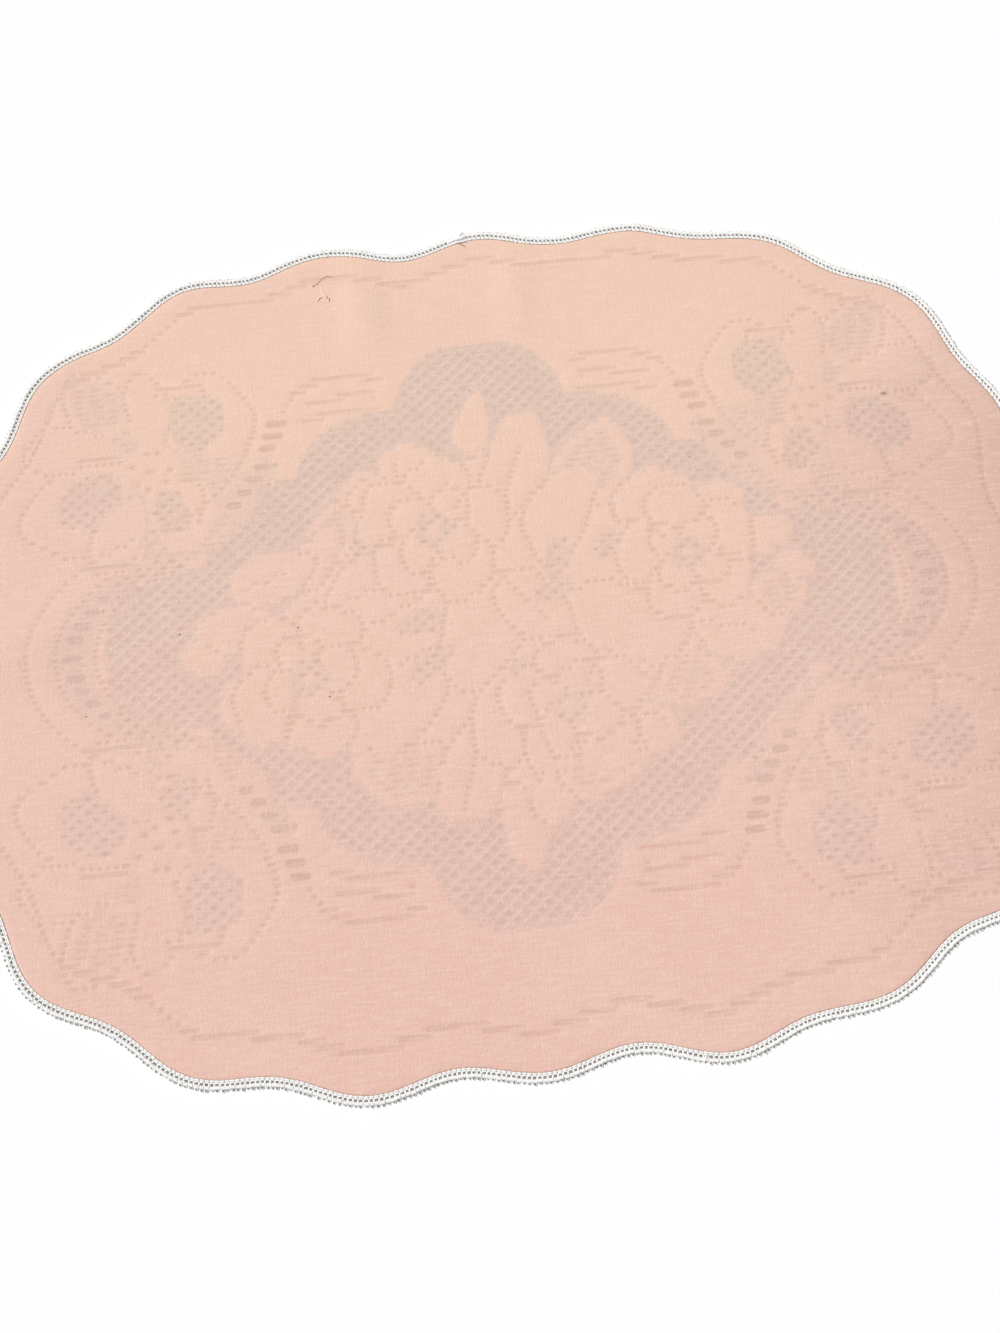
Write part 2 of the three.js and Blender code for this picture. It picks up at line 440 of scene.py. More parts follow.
# Knitted lace can only open on its own rows, so each line becomes dots and dashes on them.
def steppedLines(lines):
    rows = {}
    for line, tall, dotted in lines:
        row = np.floor(line[:, 1] / stitches["course"] + 0.5).astype(int)
        ends = np.flatnonzero(np.diff(row)) + 1
        for part in np.split(np.arange(len(line)), ends):
            low, high = line[part, 0].min(), line[part, 0].max()
            if high - low < dots["width"]:
                middle, half = (low + high) / 2, dots["width"] / 2
                low, high = middle - half, middle + half
            elif not dotted:
                low, high = low - dots["overrun"], high + dots["overrun"]
            count = max(1, round((high - low) / stitches["wale"])) if dotted else 1
            width = (high - low) / count
            for k in range(count):
                start = low + width * k + (dots["thread"] if k else 0)
                end = low + width * (k + 1) - (dots["thread"] if k + 1 < count else 0)
                rows.setdefault(int(row[part[0]]), []).append([start, end, tall])
    slots = []
    for row, spans in sorted(rows.items()):
        y = row * stitches["course"]
        slots += [((low + high) / 2, y, (high - low) / 2, tall, "slot") for low, high, tall in joined(spans)]
    return slots


openings = []  # x, y, half width, half height, kind
cells = {}  # the openings in each square of the cloth, to find those near a point
cellSize = 8


def cellsOf(opening, reach):
    x, y, wide, tall, _ = opening
    wide, tall = wide + reach, tall + reach
    for i in range(int((x - wide) // cellSize), int((x + wide) // cellSize) + 1):
        for j in range(int((y - tall) // cellSize), int((y + tall) // cellSize) + 1):
            yield i, j


def addOpening(opening):  # only if it is clear of those already there
    x, y, wide, tall, kind = opening
    gap = stitches["gap"][kind]
    for cell in cellsOf(opening, 1):
        for ox, oy, oWide, oTall, oKind in cells.get(cell, ()):
            lattice = kind == oKind and kind in ("net", "mesh")
            if not lattice and abs(x - ox) < wide + oWide + gap and abs(y - oy) < tall + oTall + gap:
                return False
    for cell in cellsOf(opening, 0):
        cells.setdefault(cell, []).append(opening)
    openings.append(opening)
    return True


def latticePoints():  # each row is half a step along from the last
    most = int(plan["halfDepth"] / stitches["course"])
    rows = np.arange(-most, most + 1)
    most = int(plan["halfWidth"] / (2 * stitches["wale"]))
    columns = np.arange(-most, most + 1)
    x = 2 * stitches["wale"] * columns[None, :] + stitches["wale"] * (rows[:, None] % 2)
    y = stitches["course"] * rows[:, None] + 0 * x
    return np.c_[x.ravel(), y.ravel()]


def openEyes():
    x, y, radius, count = border["eye"]
    for side in quarters:
        row = round(y / stitches["course"])
        for k in range(count):
            turn = 2 * math.pi * (k + 0.5) / count
            up = round(radius * math.sin(turn) / stitches["course"])
            place = (side[0] * (x + radius * math.cos(turn)), side[1] * (row + up) * stitches["course"])
            addOpening((*place, *eyeHoles["ring"], "slot"))
        addOpening((side[0] * x, side[1] * row * stitches["course"], *eyeHoles["middle"], "slot"))


def openLadders():
    for side in quarters:
        for x, y, wide, deep, start, end, first, last in border["ladders"]:
            line = arcLine(x, y, wide, deep, start, end)
            far = np.r_[0, np.cumsum(np.hypot(*np.diff(line, axis=0).T))]
            count = max(2, int(far[-1] / (rungs["courses"] * stitches["course"])))
            for k in range(count):
                share = k / (count - 1)
                place = [np.interp(share * far[-1], far, line[:, j]) for j in (0, 1)]
                row = round(place[1] / stitches["course"]) * stitches["course"]
                width = first + (last - first) * share + jitter.uniform(-rungs["uneven"], rungs["uneven"])
                addOpening((side[0] * place[0], side[1] * row, width / 2, rungs["tall"], "ladder"))


def openSlots():
    for x, y, wide, tall, kind in steppedLines(drawLines()):
        # a slot that runs into another is cut back from one end or the other
        for low, high in ((0, 1), (0.25, 1), (0, 0.75), (0.5, 1), (0, 0.5)):
            part = (x - wide + wide * (low + high), y, wide * (high - low), tall, kind)
            if part[2] > dots["shortest"] and addOpening(part):
                break


def openNet():  # wherever the cloth is net on all sides
    places = latticePoints()
    clear = np.ones(len(places), bool)
    for step in ((0, 0), (1.6, 0), (-1.6, 0), (0, 1.6), (0, -1.6)):
        clear &= opennessAt(places + step, patches) > 0.9
    wide, tall, _ = stitches["net"]
    for x, y in places[clear]:
        addOpening((x, y, wide, tall, "net"))


def openMeshes():  # smaller, uneven holes wherever the cloth is between solid and net
    places = latticePoints()
    wide, tall, _ = stitches["mesh"]
    tone = opennessAt(places, patches)
    for x, y in places[(tone > 0.5) & (tone < 0.9)]:
        big = jitter.uniform(meshes["least"], 1.0)
        astray = jitter.uniform(-meshes["astray"], meshes["astray"])
        addOpening((x + astray, y, wide * big, tall * big, "mesh"))


def openStripes():  # short slots along the rows wherever the cloth is half open
    rows = int(plan["halfDepth"] / stitches["course"])
    for row in range(-rows, rows + 1):
        x = np.arange(-plan["halfWidth"], plan["halfWidth"], 0.5)
        y = row * stitches["course"]
        tone = opennessAt(np.c_[x, np.full(len(x), y)], patches)
        for run in runs((tone > 0.3) & (tone < 0.4)):
            start, end = x[run[0]], x[run[-1]]
            count = max(1, round((end - start) / stripes["long"]))
            width = (end - start) / count
            if width <= stripes["shortest"]:
                continue
            for k in range(count):
                most = width / 2 - stripes["end"]
                half = most * jitter.uniform(stripes["least"], 1)
                middle = start + width * (k + 0.5) + jitter.uniform(-1, 1) * (most - half)
                addOpening((middle, y, half, stripes["tall"], "stripe"))


openEyes()
openLadders()
openSlots()
openNet()
openMeshes()
openStripes()
print("lace charted:", len(openings), "openings")


# Eight corners round an opening, or round its floor. However small it is, some floor is left.
def openingRing(opening, inset):
    x, y, wide, tall, kind = opening
    wide = max(wide - inset, 0.45 * wide)
    tall = max(tall - inset, 0.4 * tall)
    if kind in ("net", "mesh"):
        corners = [(1, 0), (0.6, 0.62), (0, 1), (-0.6, 0.62), (-1, 0), (-0.6, -0.62), (0, -1), (0.6, -0.62)]
        return [(x + u * wide, y + v * tall) for u, v in corners]
    cut = 0.65 * min(wide, tall)
    corners = [(wide, cut - tall), (wide, tall - cut), (wide - cut, tall), (cut - wide, tall)]
    return [(x + u, y + v) for u, v in corners] + [(x - u, y - v) for u, v in corners]


def newMesh(name, points, faces, smooth=True):
    mesh = bpy.data.meshes.new(name)
    mesh.from_pydata((np.asarray(points) * mm).tolist(), [], [tuple(map(int, face)) for face in faces])
    mesh.polygons.foreach_set("use_smooth", [smooth] * len(mesh.polygons))
    piece = bpy.data.objects.new(name, mesh)
    scene.collection.objects.link(piece)
    return piece


def ringEdges(start, count):
    return [(start + k, start + (k + 1) % count) for k in range(count)]


# How finely the sheet is made.
sheet = {
    "rim": 1100,  # points round the cut edge
    "rounding": (0.9, 0.25),  # how far in the rim's rounding starts, how far it drops
    "cover": (224, 176),  # half width and half depth of the even points that fill it
    "step": 3.2,  # between those on the upper side
    "underStep": 9,
    "astray": 0.3,  # how far each is moved, as a share of the step
    "seed": 5,
    "clear": 0.15,  # and how far they keep from the openings
}


def groundPoints(step):  # even points inside the cut edge, each moved a little
    wide, deep = sheet["cover"]
    x, y = np.meshgrid(np.arange(-wide, wide + 1, step), np.arange(-deep, deep + 1, step))
    points = np.c_[x.ravel(), y.ravel()]
    astray = np.random.default_rng(sheet["seed"]).uniform(-sheet["astray"], sheet["astray"], points.shape)
    points = points + astray * step
    return points[inside(points, edgeLine(600, 1.5))]


def changePoints():  # pairs of points each side of where the stitch changes, so that it stays crisp
    course = stitches["course"]
    rows = int(plan["halfDepth"] / course)
    x = np.arange(-plan["halfWidth"], plan["halfWidth"], 0.6)
    found = []
    tones = [opennessAt(np.c_[x, np.full(len(x), row * course)], patches) for row in range(-rows, rows + 1)]
    for k, tone in enumerate(tones):
        y = (k - rows) * course
        for place in x[:-1][np.abs(np.diff(tone)) > 0.1] + 0.3:
            found += [(place + side, y + up) for side in (-0.3, 0.3) for up in (-0.9, 0.9)]
        if k:
            changed = x[np.abs(tone - tones[k - 1]) > 0.1][::3]
            found += [(place, y - course / 2 + side) for place in changed for side in (-0.25, 0.25)]
    return np.array(found)


def clearOfOpenings(points, gap):
    clear = np.ones(len(points), bool)
    cell = (points // cellSize).astype(int)
    for k, (x, y) in enumerate(points):
        for ox, oy, wide, tall, _ in cells.get((cell[k, 0], cell[k, 1]), ()):
            if abs(x - ox) < wide + gap and abs(y - oy) < tall + gap:
                clear[k] = False
                break
    return points[clear]


def triangles(points, edges, rim):  # the flat triangles inside the rim, whose points come first
    flat, _, faces, *_ = delaunay_2d_cdt([Vector(p) for p in points], edges, [], 0, 1e-7, False)
    flat, faces = np.array([tuple(p) for p in flat]), np.array(faces)
    onRim = (faces < len(rim)).all(1)
    kept = ~onRim
    kept[onRim] = inside(flat[faces[onRim]].mean(1), rim)
    return flat, faces[kept].tolist()


# The rim, then two rings to each opening, then the ground between them. The rings stay joined.
def clothPoints(rim):
    points = [tuple(p) for p in rim]
    edges = ringEdges(0, len(rim))
    for opening in openings:
        for inset in (0, stitches["slope"].get(opening[4], stitches["softSlope"])):
            ring = openingRing(opening, inset)
            edges += ringEdges(len(points), len(ring))
            points += ring
    rounding = edgeLine(sheet["rim"], sheet["rounding"][0])
    loose = np.vstack([groundPoints(sheet["step"]), changePoints(), rounding])
    return points + [tuple(p) for p in clearOfOpenings(loose, sheet["clear"])], edges


def sinkOpenings(up, first):  # levels each opening, lowers its floor and marks how much painted shade its floor gets
    hole = np.zeros(len(up))
    for k, opening in enumerate(openings):
        kind = opening[4]
        depth = stitches[kind][2] if kind in ("net", "mesh") else stitches[kind]
        brim = slice(first + 16 * k, first + 16 * k + 8)
        floor = slice(first + 16 * k + 8, first + 16 * k + 16)
        up[brim] = up[brim].mean()
        up[floor] = up[brim][0] - depth
        hole[floor] = stitches["shade"][kind]
    return hole


def makeLaceCloth():
    rim = edgeLine(sheet["rim"])
    around = len(rim)
    top, topFaces = triangles(*clothPoints(rim), rim)
    net = opennessAt(top, patches)
    up = np.full(len(top), plan["thickness"]) - stitches["netSunk"] * net
    up[:around] -= sheet["rounding"][1]
    hole = sinkOpenings(up, around)
    underPoints = [tuple(p) for p in np.vstack([rim, groundPoints(sheet["underStep"])])]
    under, underFaces = triangles(underPoints, ringEdges(0, around), rim)
    count = len(top)
    faces = topFaces + [tuple(count + i for i in reversed(face)) for face in underFaces]
    for k in range(around):
        after = (k + 1) % around
        faces.append((k, count + k, count + after, after))
    heights = np.r_[up + liftAt(top), liftAt(under)]
    cloth = newMesh("laceCloth", np.c_[np.vstack([top, under]), heights], faces)
    blank = np.zeros(len(under))
    for name, values in (("net", net), ("hole", hole)):
        cloth.data.attributes.new(name, "FLOAT", "POINT").data.foreach_set("value", np.r_[values, blank])
    return cloth


laceCloth = makeLaceCloth()
laceCloth.data.calc_loop_triangles()
print("lace cloth:", len(laceCloth.data.loop_triangles), "triangles")


def hexColour(text):
    channels = [int(text[k : k + 2], 16) / 255 for k in (1, 3, 5)]
    return (*[c / 12.92 if c <= 0.04045 else ((c + 0.055) / 1.055) ** 2.4 for c in channels], 1)


def addNode(tree, kind, settings=(), inputs=()):
    node = tree.nodes.new(kind)
    for name, value in dict(settings).items():
        setattr(node, name, value)
    for name, value in dict(inputs).items():
        if isinstance(value, bpy.types.NodeSocket):
            tree.links.new(value, node.inputs[name])
        else:
            node.inputs[name].default_value = value
    return node


def addMaths(add, kind, first, second):
    return add("ShaderNodeMath", {"operation": kind}, {0: first, 1: second}).outputs[0]


def newMaterial(name):  # and the function that adds nodes to it
    material = bpy.data.materials.new(name)
    material.use_nodes = True
    material.node_tree.nodes.clear()
    return material, partial(addNode, material.node_tree)


def addSurface(add, inputs):
    surface = add("ShaderNodeBsdfPrincipled", {}, inputs)
    add("ShaderNodeOutputMaterial", {}, {"Surface": surface.outputs[0]})


laceLook = {
    "solid": "#f0cbb6",
    "frontEdge": "#e9bfb1",  # pinker and darker along the front
    "rightEnd": "#d9b2a5",  # and duller at the right end
    "leftEnd": "#e8c1b3",
    "drift": "#ecc6b6",
    "nap": "#f8dccb",
    "wale": "#e4c1af",
    # painted shade: tints over the cloth's colour, for the table in shade seen through the open stitches and
    # for the shade in the hollows
    "net": "#eff5fa",
    "netHoleShade": "#f4f5f6",
    "hollow": "#edeae8",
    "netThread": "#f0d6c9",
    "speck": "#4a3028",
    # the grain, in waves to a metre along x, y and z
    "patches": (11, 14, 10),
    "worn": (60, 60, 60),
    "streaks": (120, 1100, 120),
    "wales": (620, 90, 120),
    "flecks": (1050, 620, 120),
    "hairs": (600, 600, 600),
    "fuzz": (1400, 1400, 1400),
    # dark specks of lint: x, y, radius, strength
    "specks": [
        (171, 81, 1.7, 0.45), (-83, 4, 0.6, 0.8), (-131, 6, 0.6, 0.8), (-72, -26, 0.6, 0.8),
        (85, 61, 0.5, 0.8), (-4, 102, 0.4, 0.8), (-169, -24, 0.5, 0.8),
    ],
}


# Brushed polyester knitted lace: soft and quite matt, with a short nap that lies along the
# rows and shows as faint light streaks.
def brushedKnittedLace():
    material, add = newMaterial("brushedKnittedLace")
    maths = partial(addMaths, add)

    def mix(factor, low, name, blend="MIX"):
        inputs = {0: factor, 6: low, 7: hexColour(laceLook[name])}
        return add("ShaderNodeMix", {"data_type": "RGBA", "blend_type": blend}, inputs).outputs[2]

    def ramp(value, low, high, most=1.0):
        return add("ShaderNodeMapRange", {}, {0: value, 1: low, 2: high, 3: 0.0, 4: most}).outputs[0]

    def noise(name, detail=2):
        spread = add("ShaderNodeMapping", {}, {"Vector": place, "Scale": laceLook[name]}).outputs[0]
        return add("ShaderNodeTexNoise", {}, {"Vector": spread, "Scale": 1.0, "Detail": detail}).outputs[0]

    place = add("ShaderNodeTexCoord").outputs["Object"]
    net = add("ShaderNodeAttribute", {"attribute_name": "net"}).outputs["Fac"]
    hole = add("ShaderNodeAttribute", {"attribute_name": "hole"}).outputs["Fac"]
    across = add("ShaderNodeSeparateXYZ", {}, {0: place}).outputs
    # the colour, uneven across the mat
    colour = mix(ramp(across[1], 0.1, -0.13), hexColour(laceLook["solid"]), "frontEdge")
    rightward = maths("MULTIPLY", ramp(across[0], 0.1, 0.225, 0.95), ramp(across[1], 0.19, 0.06))
    colour = mix(rightward, colour, "rightEnd")  # less towards the back
    colour = mix(ramp(across[0], -0.13, -0.225, 0.8), colour, "leftEnd")
    colour = mix(ramp(noise("patches"), 0.45, 0.7, 0.7), colour, "drift")
    # the net: light threads slant both ways between the holes
    # painted shade: the net's thin ground is darkened and cooled as if the shaded table beneath shows
    # through, less towards the front
    depth = maths("MAXIMUM", ramp(across[1], -0.25, 0.08), 0.65)  # less towards the front
    colour = mix(maths("MULTIPLY", net, depth), colour, "net", "MULTIPLY")
    wide, deep = 2 * stitches["wale"] * mm, 2 * stitches["course"] * mm
    columns, rows = maths("DIVIDE", across[0], wide), maths("DIVIDE", across[1], deep)
    falling = maths("PINGPONG", maths("ADD", columns, rows), 0.5)
    rising = maths("PINGPONG", maths("SUBTRACT", columns, rows), 0.5)
    falling = maths("MULTIPLY", falling, 0.88)  # these lie beneath the rising ones
    threads = ramp(maths("MAXIMUM", falling, rising), 0.36, 0.5)
    worn = ramp(noise("worn"), 0.3, 0.65, 0.5)
    colour = mix(maths("MULTIPLY", maths("MULTIPLY", threads, worn), net), colour, "netThread")
    # painted shade: the hollows' floors darker, and the table in shade through the widest of them
    through = ramp(hole, 1.0, 2.0)
    hole = maths("MINIMUM", hole, 1.0)
    offNet = maths("SUBTRACT", 1.0, net)
    colour = mix(maths("MULTIPLY", hole, net), colour, "netHoleShade", "MULTIPLY")
    colour = mix(maths("MULTIPLY", hole, offNet), colour, "hollow", "MULTIPLY")
    colour = mix(maths("MULTIPLY", through, offNet), colour, "net", "MULTIPLY")
    # nap streaks 0.9 mm apart and 8 mm long, wales 1.6 mm apart across them, and short flecks
    streak = noise("streaks", 3)
    wale = noise("wales")
    fleck = noise("flecks", 1)
    fuzz = noise("fuzz")
    colour = mix(ramp(streak, 0.4, 0.75, 0.35), colour, "nap")
    colour = mix(ramp(fleck, 0.6, 0.78, 0.35), colour, "nap")
    colour = mix(ramp(noise("hairs", 0), 0.74, 0.82, 0.3), colour, "nap")
    colour = mix(ramp(wale, 0.5, 0.75, 0.08), colour, "wale")
    # specks, a little wider than deep
    level = add("ShaderNodeMapping", {}, {"Vector": place, "Scale": (1, 1.6, 0)}).outputs[0]
    for x, y, radius, strength in laceLook["specks"]:
        middle = (x * mm, 1.6 * y * mm, 0)
        away = add("ShaderNodeVectorMath", {"operation": "DISTANCE"}, {0: level, 1: middle}).outputs["Value"]
        colour = mix(ramp(away, radius * mm, 0.6 * radius * mm, strength), colour, "speck")
    knit = maths("ADD", streak, maths("MULTIPLY", wale, 0.6))
    height = maths("ADD", knit, maths("ADD", fleck, fuzz))
    bump = add("ShaderNodeBump", {}, {"Strength": 0.5, "Distance": 0.00025, "Height": height}).outputs[0]
    matt = {"Base Color": colour, "Roughness": 0.95, "Specular IOR Level": 0.2, "Normal": bump}
    addSurface(add, matt)
    return material


laceCloth.data.materials.append(brushedKnittedLace())


threadLook = {  # colours at the front edge and at the back; innerShade and outerShade are painted shade, and outerShade is the picots' painted shadow on the table, dark at the front, pale at the back
    "white": ("#fcfbf8", "#fcfbf8"),
    "innerShade": ("#958b85", "#8b7d70"),
    "outerShade": ("#84888b", "#dfe1df"),
    # painted shade: the pulled thread is the cloth's peach, darkened as if in shade
    "pulled": ("#dcb6a3", "#dcb6a3"),
    "nap": ("#fbe4d6", "#fbe4d6"),
}


# Spun polyester sewing thread: bright white with a slight sheen, each strand twisted.
def spunThread(colourName):
    material, add = newMaterial(colourName + "SpunThread")
    place = add("ShaderNodeTexCoord").outputs["Object"]
    grain = {"Vector": place, "Scale": 2200, "Detail": 2}
    twist = add("ShaderNodeTexNoise", {}, grain).outputs[0]
    # for the shade colours the front and back differ as painted shade, darker where the shadows fall at the
    # front
    away = add("ShaderNodeSeparateXYZ", {}, {0: place}).outputs[1]
    away = add("ShaderNodeMapRange", {}, {0: away, 1: -0.12, 2: 0.12}).outputs[0]
    front, back = [hexColour(text) for text in threadLook[colourName]]
    colour = add("ShaderNodeMix", {"data_type": "RGBA"}, {0: away, 6: front, 7: back}).outputs[2]
    darker = {"data_type": "RGBA", "blend_type": "MULTIPLY"}
    plies = {0: twist, 6: colour, 7: (0.93, 0.93, 0.93, 1)}
    colour = add("ShaderNodeMix", darker, plies).outputs[2]
    relief = {"Strength": 0.4, "Distance": 0.0001, "Height": twist}
    bump = add("ShaderNodeBump", {}, relief).outputs[0]
    addSurface(add, {"Base Color": colour, "Roughness": 0.6, "Normal": bump})
    return material


whiteThread = spunThread("white")


# One thread along a path, as a closed tube, wider than high where it is pulled flat.
def threadFaces(path, width, height, sides, start=0):
    path = np.array(path, float)
    along = np.gradient(path, axis=0)
    along /= np.linalg.norm(along, axis=1)[:, None]
    points, faces = [], []
    side = np.cross(along[0], (0.02, 0.01, 1.0))
    for k, middle in enumerate(path):
        side = side - along[k] * side.dot(along[k])
        side /= np.linalg.norm(side)
        up = np.cross(side, along[k])
        for j in range(sides):
            turn = 2 * math.pi * j / sides
            points.append(middle + width * math.cos(turn) * side + height * math.sin(turn) * up)
    for k in range(len(path) - 1):
        for j in range(sides):
            a, b = start + k * sides + j, start + k * sides + (j + 1) % sides
            faces.append((a, a + sides, b + sides, b))
    last = start + (len(path) - 1) * sides
    faces.append(tuple(start + j for j in range(sides)))
    faces.append(tuple(last + j for j in reversed(range(sides))))
    return points, faces


# The edging is one row of stitches. Each is drawn by (along, outward, up) in millimetres.
edging = {
    "stitches": 732,
    "wobble": 0.06,  # radians
    "uneven": 0.05,
    # threads: half width, half height, sides, path. Two arches over the cut edge, then a bar.
    "loops": [
        (0.36, 0.2, 6, [(-0.92, 0.36, 1.1), (-0.5, 0.24, 1.17), (0, 0.2, 1.2),
                        (0.5, 0.24, 1.17), (0.92, 0.36, 1.1)]),
        (0.33, 0.2, 6, [(-0.92, 1.06, 0.98), (-0.45, 0.91, 1.08), (0, 0.86, 1.1),
                        (0.45, 0.91, 1.08), (0.92, 1.06, 0.98)]),
        (0.42, 0.24, 6, [(0.905, 0.9, 0.95), (0.93, 1.6, 1.02), (0.97, 2.4, 1.0)]),
    ],
    "cord": [
        (0.42, 0.24, 6, [(s - 0.14, 2.05, 0.85), (s - 0.07, 2.25, 1.14), (s, 2.6, 1.26),
                         (s + 0.07, 2.95, 1.14), (s + 0.14, 3.2, 0.7)])
        for s in (-0.6, 0.0, 0.6)
    ],
    "picots": [
        (0.17, 0.15, 5, [(0.6 * math.sin(t), 3.72 - 0.6 * math.cos(t), 0.17)
                         for t in np.linspace(0.06 * math.pi, 1.94 * math.pi, 12)]),
    ],
    # dark chain stitches beneath in painted shade colours, which stand for the shade in the holes
    "innerShadeChain": [(0.5, 0.12, 5, [(-0.55, 1.7, 0.8), (0, 1.74, 0.83), (0.55, 1.7, 0.8)])],
    "outerShadeChain": [(0.44, 0.08, 6, [(-0.4, 3.72, 0.12), (0, 3.72, 0.2), (0.4, 3.72, 0.12)])],
}


def stitchShape(name, threads):
    points, faces = [], []
    for width, height, sides, path in threads:
        path = [(along, -out, up) for along, out, up in path]
        morePoints, moreFaces = threadFaces(path, width, height, sides, len(points))
        points += morePoints
        faces += moreFaces
    return newMesh(name, points, faces)


def stitchTree():
    tree = bpy.data.node_groups.new("stitchesRoundEdge", "GeometryNodeTree")
    tree.is_modifier = True
    sockets = [("Edge", "Geometry"), ("Stitch", "Object"), ("Stitches", "Int"), ("Wobble", "Float"),
               ("Uneven", "Float"), ("Seed", "Int"), ("Thread", "Material")]
    for name, kind in sockets:
        tree.interface.new_socket(name, in_out="INPUT", socket_type="NodeSocket" + kind)
    tree.interface.new_socket("Edging", in_out="OUTPUT", socket_type="NodeSocketGeometry")
    add = partial(addNode, tree)
    maths = partial(addMaths, add)
    given = add("NodeGroupInput").outputs

    def between(low, high):  # three random amounts for each stitch
        span = {"Min": low, "Max": high, "Seed": given["Seed"]}
        return add("FunctionNodeRandomValue", {"data_type": "FLOAT_VECTOR"}, span).outputs[0]

    curve = add("GeometryNodeMeshToCurve", {}, {"Mesh": given["Edge"]}).outputs[0]
    path = add("GeometryNodeResampleCurve", {}, {"Curve": curve, "Count": given["Stitches"]}).outputs[0]
    # each stitch lies flat and along the edge, then turns a little
    tangent = add("GeometryNodeInputTangent").outputs[0]
    axes = {"Primary Axis": (0, 0, 1), "Secondary Axis": tangent}
    upright = {"primary_axis": "Z", "secondary_axis": "X"}
    facing = add("FunctionNodeAxesToRotation", upright, axes).outputs[0]
    turn = between(maths("MULTIPLY", given["Wobble"], -1.0), given["Wobble"])
    turn = add("FunctionNodeEulerToRotation", {}, {0: turn}).outputs[0]
    facing = add("FunctionNodeRotateRotation", {"rotation_space": "LOCAL"}, {0: facing, 1: turn}).outputs[0]
    size = between(maths("SUBTRACT", 1.0, given["Uneven"]), maths("ADD", 1.0, given["Uneven"]))
    stitch = add("GeometryNodeObjectInfo", {}, {"Object": given["Stitch"]}).outputs["Geometry"]
    placing = {"Points": path, "Instance": stitch, "Rotation": facing, "Scale": size}
    placed = add("GeometryNodeInstanceOnPoints", {}, placing).outputs[0]
    whole = add("GeometryNodeRealizeInstances", {}, {0: placed}).outputs[0]
    whole = add("GeometryNodeSetMaterial", {}, {"Geometry": whole, "Material": given["Thread"]}).outputs[0]
    add("NodeGroupOutput", {}, {0: whole})
    return tree


edgeTree = stitchTree()


def edgeRing(name):  # the cut edge as a closed line, for the stitches to follow
    line = edgeLine(2200)
    ring = bpy.data.meshes.new(name)
    ring.from_pydata((np.c_[line, liftAt(line)] * mm).tolist(), ringEdges(0, len(line)), [])
    piece = bpy.data.objects.new(name, ring)
    scene.collection.objects.link(piece)
    return piece


def stitchRound(name, threads, thread, seed):
    stitch = stitchShape(name + "Stitch", threads)
    piece = edgeRing(name)
    modifier = piece.modifiers.new("stitches", "NODES")
    modifier.node_group = edgeTree
    values = {"Stitch": stitch, "Stitches": edging["stitches"], "Wobble": edging["wobble"],
              "Uneven": edging["uneven"], "Seed": seed, "Thread": thread}
    for socket in edgeTree.interface.items_tree:
        if socket.in_out == "INPUT" and socket.name in values:
            modifier[socket.identifier] = values[socket.name]
    evaluated = piece.evaluated_get(bpy.context.evaluated_depsgraph_get())
    mesh = bpy.data.meshes.new_from_object(evaluated)
    piece.modifiers.clear()
    piece.data = mesh
    mesh.polygons.foreach_set("use_smooth", [True] * len(mesh.polygons))
    bpy.data.objects.remove(stitch)
    mesh.calc_loop_triangles()
    print(name + ":", len(mesh.loop_triangles), "triangles")
    return piece


edgingLoops = stitchRound("edgingLoops", edging["loops"], whiteThread, 3)
edgingCord = stitchRound("edgingCord", edging["cord"], whiteThread, 4)
edgingPicots = stitchRound("edgingPicots", edging["picots"], whiteThread, 5)
# painted shade: the dark chains under the holes stand for the shade in them and for the picots' shadows on
# the table
innerShade = spunThread("innerShade")
edgingInnerChain = stitchRound("edgingInnerChain", edging["innerShadeChain"], innerShade, 3)
outerShade = spunThread("outerShade")
edgingOuterChain = stitchRound("edgingOuterChain", edging["outerShadeChain"], outerShade, 5)


# Threads that have come loose: half width, colour, path of (x, y, up). Those on the lace stand off
# it where it was snagged. Those on the edging are (along, outward, up) at a share of the way round.
loose = {
    # the pulled threads carry painted shade: the cloth's peach, darker as if in shadow
    "snag": [
        (0.12, "pulled", [(-68, 160.6, 0), (-66, 161, 0.2), (-64.4, 163, 0.4), (-61.5, 164.4, 0.5),
                          (-59.2, 163.6, 0.4), (-57.6, 161.8, 0.1), (-57, 161.2, 0)]),
        (0.24, "pulled", [(-68.4, 160.4, 0), (-67.9, 160.1, 0.2), (-67.3, 160, 0)]),
        (0.28, "nap", [(-64.8, 157.8, 0), (-64, 156.4, 0.2), (-62.8, 154.8, 0.3), (-62, 153.6, 0.1)]),
        (0.2, "nap", [(-66.6, 152.2, 0), (-65.6, 153.6, 0.2), (-64.4, 154.2, 0)]),
        (0.18, "pulled", [(-61.9, 153.5, 0), (-61, 153.3, 0.2), (-61.2, 152.2, 0.1), (-61.4, 151.5, 0)]),
    ],
    "ends": [
        (0.001, 0.15, "innerShade", [(-1.4, 0.3, 1.45), (0, -1.1, 1.45), (1.5, -2.8, 1.3)]),
        (0.001, 0.52, "white", [(-5.5, 1.65, 1.05), (-2.5, 1.8, 1.4), (0.5, 1.6, 1.45), (3.8, 1.85, 1.1)]),
        (0.001, 0.4, "white", [(-3.6, 0.7, 1.1), (-1.5, 0.3, 1.4), (1.2, -0.2, 1.45), (2.4, -0.5, 1.2)]),
        (0.001, 0.3, "white", [(0.2, 3.0, 1.0), (1.2, 4.2, 1.2), (2.8, 4.6, 0.6)]),
        (0.544, 0.36, "white", [(-0.6, 0.4, 1.2), (0.1, 2.2, 1.6), (0.5, 3.9, 0.7)]),
    ],
}


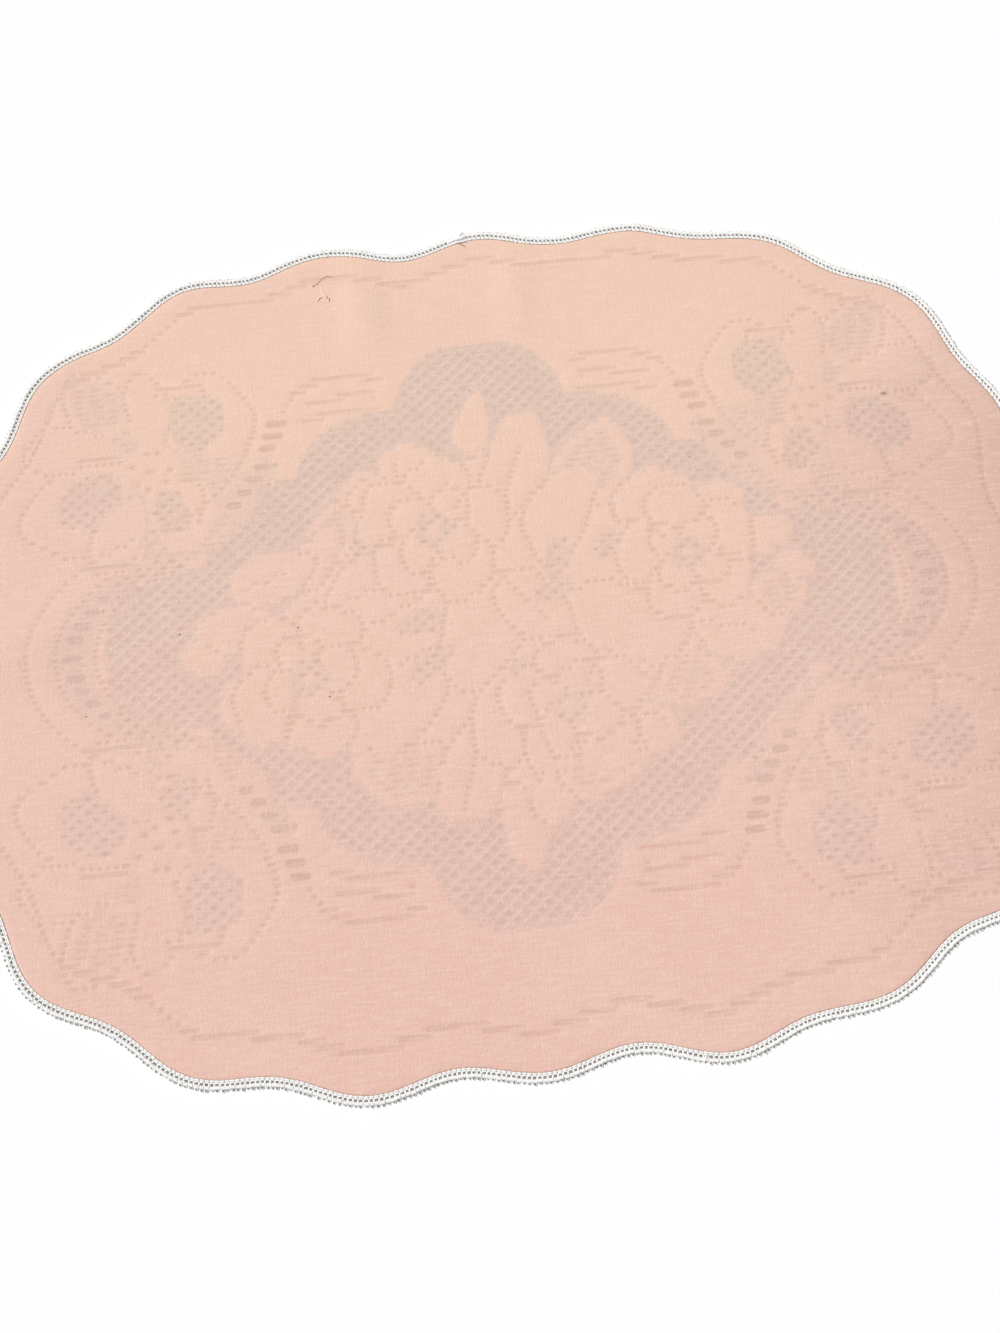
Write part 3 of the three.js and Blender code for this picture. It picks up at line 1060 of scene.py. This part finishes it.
def looseThreads(name, threads):  # each thread is its half width, colour and path on the mat
    points, faces, shades = [], [], []
    names = sorted({colour for _, colour, _ in threads})
    for width, colour, path in threads:
        morePoints, moreFaces = threadFaces(path, width, width, 6, len(points))
        points += morePoints
        faces += moreFaces
        shades += [names.index(colour)] * len(moreFaces)
    piece = newMesh(name, points, faces)
    for colour in names:
        piece.data.materials.append(spunThread(colour))
    piece.data.polygons.foreach_set("material_index", shades)
    return piece


def makeSnag():
    threads = []
    for width, colour, path in loose["snag"]:
        path = np.array(path, float)
        path[:, 2] += plan["thickness"] + liftAt(path) + 0.4 * width
        threads.append((width, colour, path))
    return looseThreads("snaggedThreads", threads)


def makeLooseEnds():
    line = edgeLine(2200)
    out = outwardOf(line)
    threads = []
    for share, width, colour, path in loose["ends"]:
        k = int(share * len(line))
        along = np.array([out[k, 1], -out[k, 0]])
        path = [(*(line[k] + a * along + o * out[k]), up + liftAt(line[k : k + 1])[0]) for a, o, up in path]
        threads.append((width, colour, path))
    return looseThreads("looseEnds", threads)


snaggedThreads = makeSnag()
looseEnds = makeLooseEnds()
print("edging made")


# Floor, light and camera.
studio = {
    "floor": "#fefefe",
    "floorSize": 4.0,
    "keyPlace": (-0.8, 0.3, 1.0),  # the sun comes from here
    "keySpread": 20,  # degrees
    "keyStrength": 2.65,
    "sky": 0.36,
    "camera": (-0.008, -0.1246, 0.408),
    "lookAt": (-0.0034, -0.0206, 0),
    "roll": -3.42,
    "lens": 28.36,
}


def makeFloor():
    half = studio["floorSize"] / 2
    corners = [(-half, -half, 0), (half, -half, 0), (half, half, 0), (-half, half, 0)]
    mesh = bpy.data.meshes.new("tableTop")
    mesh.from_pydata(corners, [], [(0, 1, 2, 3)])
    floor = bpy.data.objects.new("tableTop", mesh)
    scene.collection.objects.link(floor)
    material, add = newMaterial("matWhiteTable")
    matt = {"Base Color": hexColour(studio["floor"]), "Roughness": 0.9, "Specular IOR Level": 0.0}
    addSurface(add, matt)
    mesh.materials.append(material)


def makeLight():
    sun = bpy.data.objects.new("windowLight", bpy.data.lights.new("windowLight", "SUN"))
    sun.data.energy = studio["keyStrength"]
    sun.data.angle = math.radians(studio["keySpread"])
    sun.rotation_mode = "QUATERNION"
    sun.rotation_quaternion = Vector(studio["keyPlace"]).to_track_quat("Z", "Y")
    scene.collection.objects.link(sun)
    world = bpy.data.worlds.new("softRoom")
    scene.world = world
    world.use_nodes = True
    world.node_tree.nodes.clear()
    add = partial(addNode, world.node_tree)
    ray = add("ShaderNodeLightPath").outputs
    seen = addMaths(add, "MAXIMUM", ray["Is Camera Ray"], ray["Is Glossy Ray"])
    # white where it is seen, dimmer as a light
    strength = {0: seen, 2: studio["sky"], 3: 1.0}
    strength = add("ShaderNodeMix", {"data_type": "FLOAT"}, strength).outputs[0]
    back = add("ShaderNodeBackground", {}, {"Color": (1, 1, 1, 1), "Strength": strength})
    add("ShaderNodeOutputWorld", {}, {"Surface": back.outputs[0]})


def makeCamera():
    camera = bpy.data.objects.new("overhead", bpy.data.cameras.new("overhead"))
    camera.data.lens = studio["lens"]
    camera.location = studio["camera"]
    aim = Vector(studio["lookAt"]) - Vector(studio["camera"])
    roll = Quaternion((0, 0, 1), math.radians(studio["roll"]))
    camera.rotation_euler = (aim.to_track_quat("-Z", "Y") @ roll).to_euler()
    scene.collection.objects.link(camera)
    scene.camera = camera


makeFloor()
makeLight()
makeCamera()
scene.view_settings.view_transform = "Standard"

trimmings = [edgingLoops, edgingCord, edgingPicots, edgingInnerChain, edgingOuterChain, looseEnds]
for piece in trimmings:
    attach(piece, "root")
    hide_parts("picot_edging")
for piece in (laceCloth, snaggedThreads):
    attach(piece, "root")
    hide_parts("lace_cloth")
print("pieces declared")
